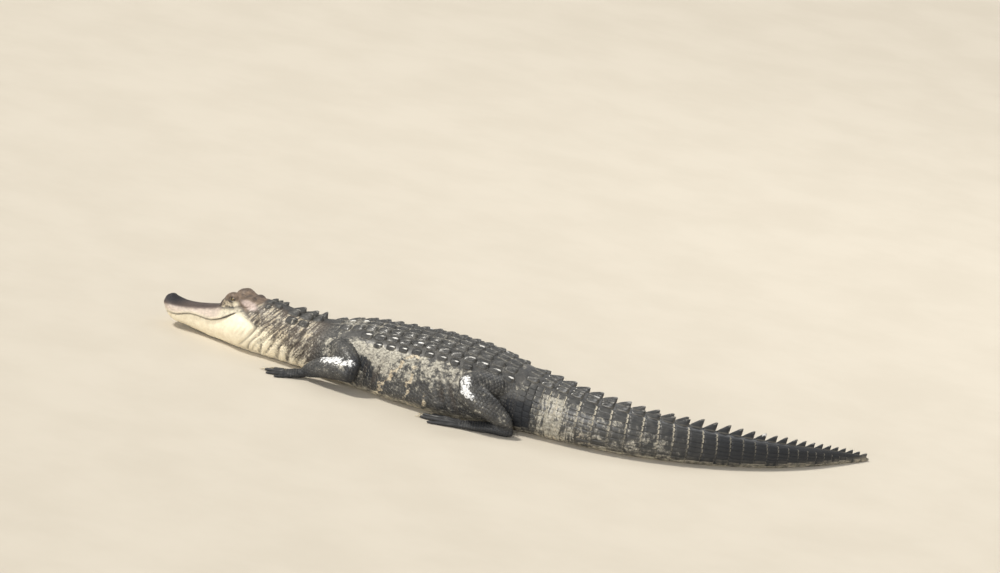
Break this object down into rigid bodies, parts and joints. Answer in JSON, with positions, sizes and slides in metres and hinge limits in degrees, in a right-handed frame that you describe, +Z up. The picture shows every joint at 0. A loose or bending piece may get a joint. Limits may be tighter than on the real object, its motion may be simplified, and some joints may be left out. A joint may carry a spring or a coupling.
{
  "type": "american alligator",
  "caption": "Life-size still model of an American alligator lying on its belly, head low, limbs sprawled, plated back, and tail curving away.",
  "frame": {"origin": "on the floor, under the middle of the animal's bounding box", "axes": "+Z up; the head points to -X and the trunk lies along X; the animal's left side faces -Y"},
  "size_m": [1.9262, 0.8062, 0.1973],
  "materials": {
    "head_skin": "damp grey-brown skin of the head",
    "throat_skin": "cream skin of the lower jaw and throat",
    "eye": "glossy eye with a slit pupil",
    "hide": "dark grey plated hide, wet in places",
    "limb_skin": "dark scaly skin, wet in places"
  },
  "bodies": {
    "root": {"head": "head_skin", "lower_jaw": "throat_skin", "eye_left": "eye", "eye_right": "eye", "neck": "hide", "torso": "hide", "tail_base": "hide", "tail_middle": "hide", "tail_end": "hide", "fore_left_upper_arm": "limb_skin", "fore_left_forearm": "limb_skin", "fore_left_foot": "limb_skin", "fore_right_upper_arm": "limb_skin", "fore_right_forearm": "limb_skin", "fore_right_foot": "limb_skin", "hind_left_thigh": "limb_skin", "hind_left_shank": "limb_skin", "hind_left_foot": "limb_skin", "hind_right_thigh": "limb_skin", "hind_right_shank": "limb_skin", "hind_right_foot": "limb_skin"}
  },
  "joints": []
}
